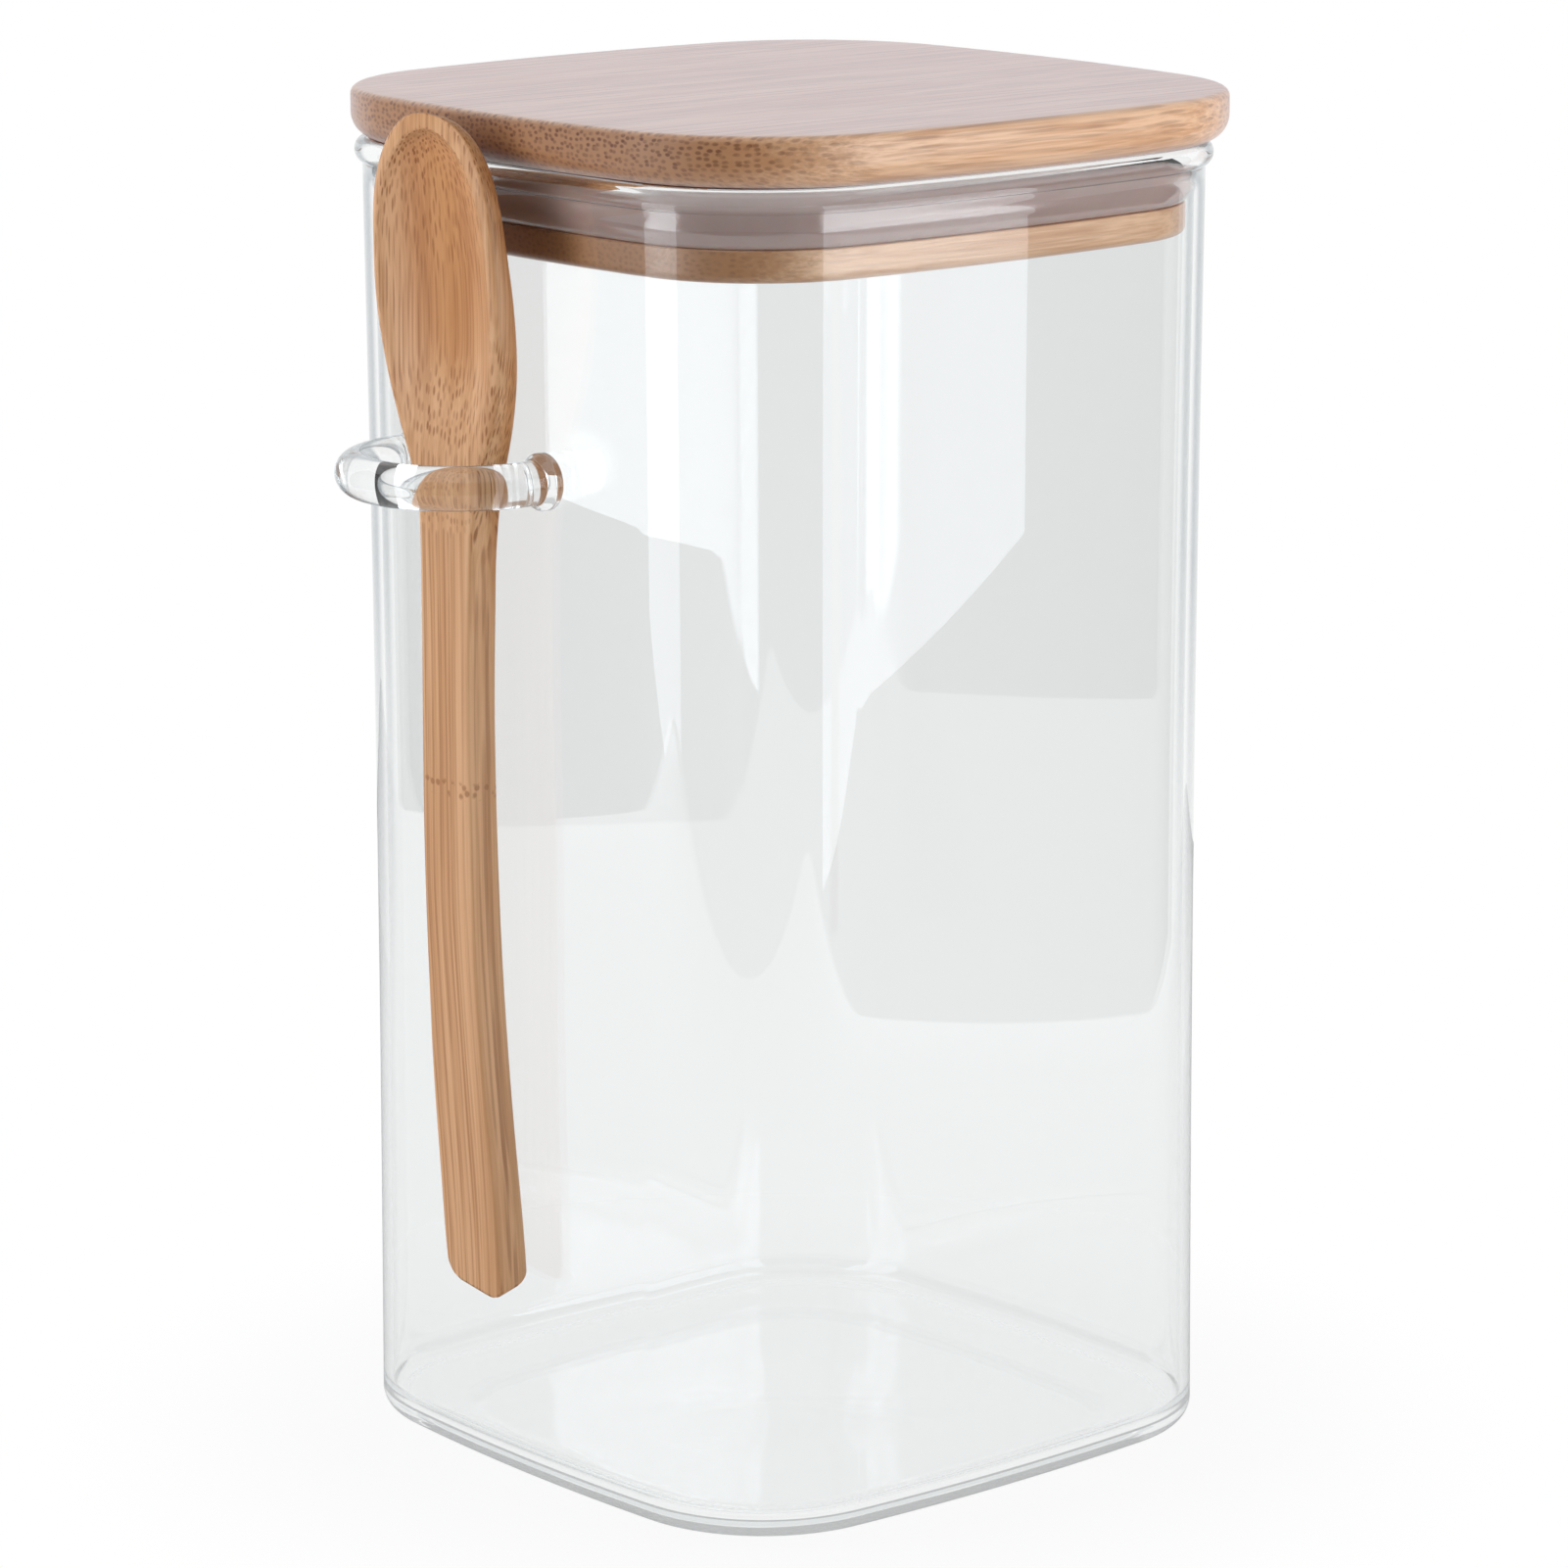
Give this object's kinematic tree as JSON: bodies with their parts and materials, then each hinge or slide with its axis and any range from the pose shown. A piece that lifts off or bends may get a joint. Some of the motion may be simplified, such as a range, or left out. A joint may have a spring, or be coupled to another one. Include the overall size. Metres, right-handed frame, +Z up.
{
  "type": "glass canister",
  "caption": "Square soft-cornered glass canister with a push-in bamboo lid, a silicone seal and a bamboo spoon that hangs in a glass loop on its front.",
  "frame": {"origin": "middle of the base, on the surface that the jar stands on", "axes": "+Z up out of the mouth, -Y out of the face that carries the spoon, +X to the right as that face is seen"},
  "size_m": [0.106, 0.1243, 0.1967],
  "materials": {
    "clear_glass": "clear, fire polished",
    "bamboo": "sanded, carbonised bamboo",
    "silicone": "translucent, matt"
  },
  "bodies": {
    "jar": {"glass_jar": "clear_glass", "spoon_loop": "clear_glass"},
    "lid": {"lid_plate": "bamboo", "lid_plug": "bamboo", "lid_seal": "silicone"},
    "spoon": {"spoon": "bamboo"}
  },
  "joints": [
    {"name": "lid_lift", "type": "slide", "parent": "jar", "child": "lid", "axis": [0, 0, 1], "range_m": [0, 0.12]},
    {"name": "spoon_draw", "type": "slide", "parent": "jar", "child": "spoon", "axis": [-0.018, -0.0499, 0.9986], "range_m": [0, 0.135]}
  ]
}
